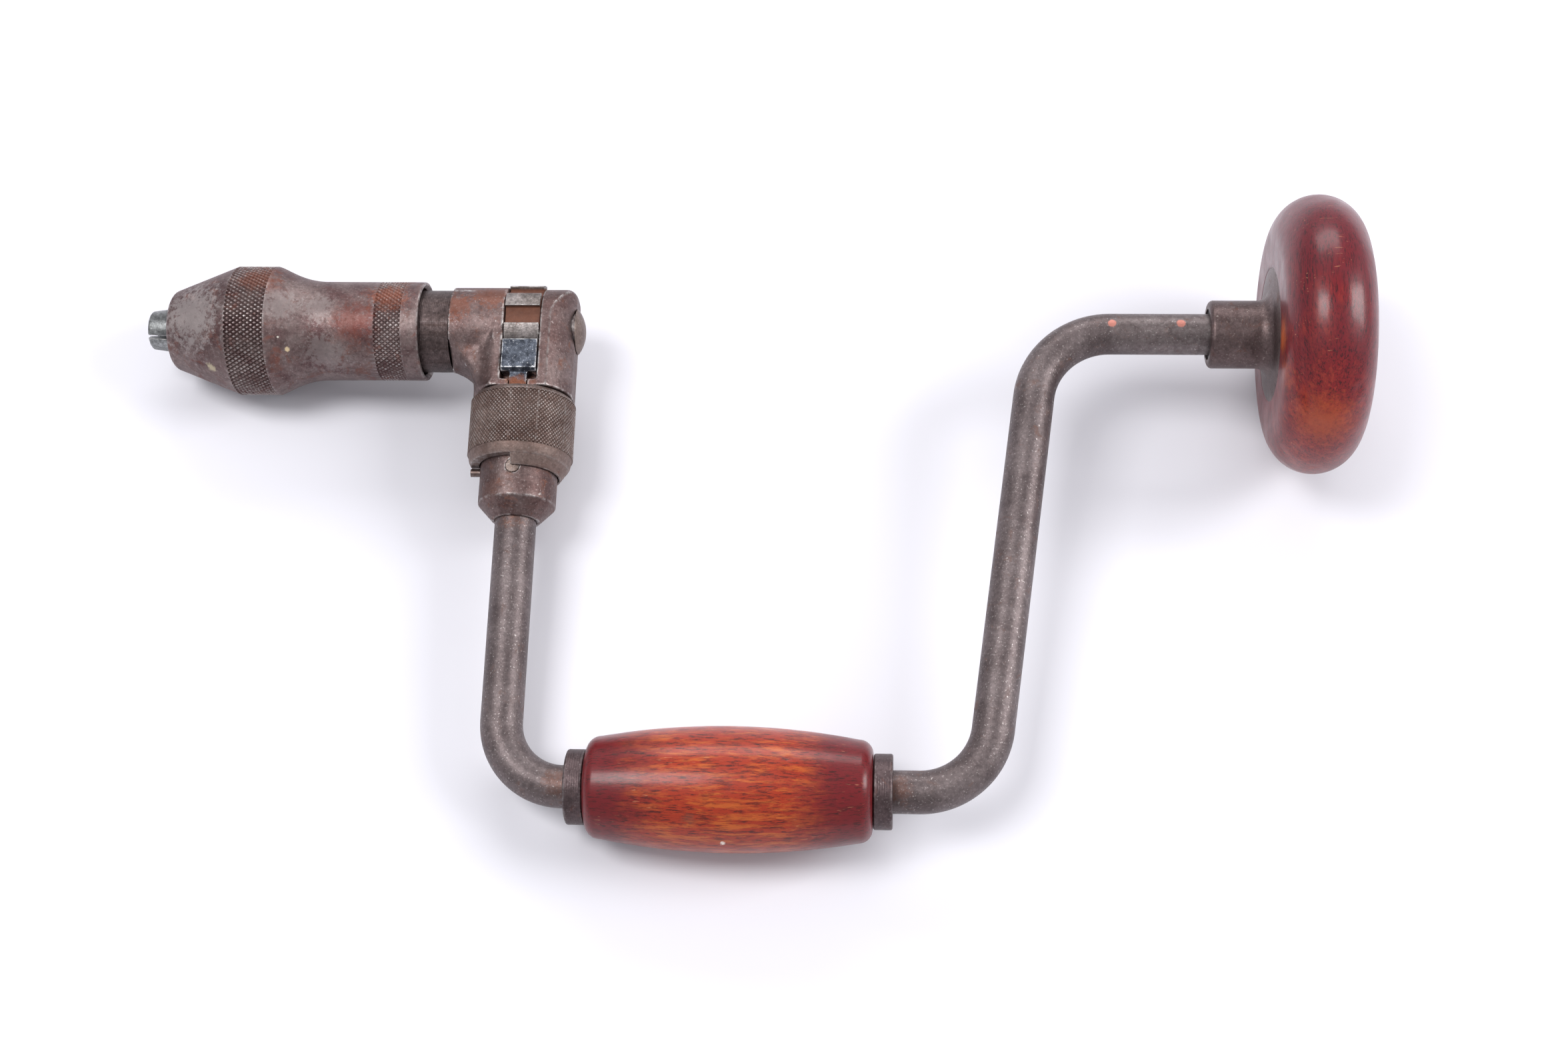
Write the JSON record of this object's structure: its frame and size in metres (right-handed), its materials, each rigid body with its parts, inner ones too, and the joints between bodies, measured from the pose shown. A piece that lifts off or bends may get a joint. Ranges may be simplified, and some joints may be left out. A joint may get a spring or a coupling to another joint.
{
  "type": "ratchet bit brace",
  "caption": "Carpenter's hand drill: ratchet bit brace with two-jaw screw chuck, cam ring, bent rod crank, free-turning wooden grip and breast pad.",
  "frame": {"origin": "centre of the jaw mouth on the main axis", "axes": "+X along the main axis from the chuck to the pad, crank towards -Y, +Z square to the plane of the crank"},
  "size_m": [0.3331, 0.1813, 0.0754],
  "materials": {
    "steel_patina": "aged steel with a purple-brown patina and rust spots",
    "rod_steel": "aged grey-brown rod with a fine light speckle",
    "dark_steel": "turned steel with a dark patina",
    "wheel_steel": "hardened steel, worn bright on the teeth, rusty in the gaps",
    "bright_steel": "worn bright steel",
    "blued_steel": "blue-black hardened steel",
    "bearing_steel": "polished bearing steel",
    "lacquered_wood": "beech under worn red lacquer",
    "felt": "oiled black felt"
  },
  "bodies": {
    "frame": {"head_fork": "steel_patina", "crank_rod": "rod_steel", "stem_pin": "dark_steel", "stop_pin": "bright_steel", "ferrule_front": "dark_steel", "ferrule_rear": "dark_steel", "dust_washer": "felt", "thrust_race_front": "bearing_steel", "retaining_nut": "dark_steel", "detent_ball": "bearing_steel", "detent_spring": "dark_steel", "pawl_spring_front": "dark_steel", "pawl_spring_back": "dark_steel"},
    "spindle": {"chuck_spindle": "dark_steel", "ratchet_wheel": "wheel_steel", "wheel_key": "bright_steel", "end_screw": "steel_patina", "jaw_spring": "dark_steel"},
    "jaw_upper": {"jaw_upper": "bright_steel"},
    "jaw_lower": {"jaw_lower": "bright_steel"},
    "shell_carrier": {"guide_ring": "bearing_steel"},
    "shell": {"chuck_shell": "steel_patina"},
    "cam_ring": {"cam_ring": "steel_patina"},
    "pawl_front": {"pawl_front": "blued_steel"},
    "pawl_back": {"pawl_back": "blued_steel"},
    "pad": {"quill": "dark_steel", "thrust_race_rear": "bearing_steel", "bearing_balls": "bearing_steel", "pad_wood": "lacquered_wood"},
    "grip": {"grip_wood": "lacquered_wood"}
  },
  "joints": [
    {"name": "chuck_spin", "type": "hinge", "parent": "frame", "child": "spindle", "pos_m": [0.093, 0, 0], "axis": [1, 0, 0], "continuous": true},
    {"name": "shell_advance", "type": "slide", "parent": "spindle", "child": "shell_carrier", "axis": [1, 0, 0], "range_m": [-0.00401, 0.00051]},
    {"name": "shell_turn", "type": "hinge", "parent": "shell_carrier", "child": "shell", "pos_m": [0.0294, 0, 0], "axis": [1, 0, 0], "range_deg": [-90, 720]},
    {"name": "jaw_upper_slide", "type": "slide", "parent": "spindle", "child": "jaw_upper", "axis": [0, 0.7361, 0.6769], "range_m": [-0.00018, 0.00142]},
    {"name": "jaw_lower_slide", "type": "slide", "parent": "spindle", "child": "jaw_lower", "axis": [0, -0.7361, -0.6769], "range_m": [-0.00018, 0.00142]},
    {"name": "cam_ring_turn", "type": "hinge", "parent": "frame", "child": "cam_ring", "pos_m": [0.1057, -0.03, 0], "axis": [0, -1, 0], "range_deg": [-80, 80]},
    {"name": "pawl_front_slide", "type": "slide", "parent": "frame", "child": "pawl_front", "axis": [0, 1, 0], "range_m": [-0.00181, 0.00181], "deforming": ["pawl_spring_front"]},
    {"name": "pawl_back_slide", "type": "slide", "parent": "frame", "child": "pawl_back", "axis": [0, 1, 0], "range_m": [-0.00181, 0.00181], "deforming": ["pawl_spring_back"]},
    {"name": "pad_spin", "type": "hinge", "parent": "frame", "child": "pad", "pos_m": [0.314, 0, 0], "axis": [1, 0, 0], "continuous": true},
    {"name": "grip_spin", "type": "hinge", "parent": "frame", "child": "grip", "pos_m": [0.1659, -0.1274, 0], "axis": [1, 0, 0], "continuous": true}
  ],
  "couplings": [
    {"joint": "shell_advance", "follows": "shell_turn", "m_per_rad": -0.00031831},
    {"joint": "jaw_upper_slide", "follows": "shell_turn", "m_per_rad": 0.0001121},
    {"joint": "jaw_lower_slide", "follows": "shell_turn", "m_per_rad": 0.0001121},
    {"joint": "pawl_front_slide", "follows": "cam_ring_turn", "m_per_rad": 0.0012892},
    {"joint": "pawl_back_slide", "follows": "cam_ring_turn", "m_per_rad": -0.0012892}
  ]
}
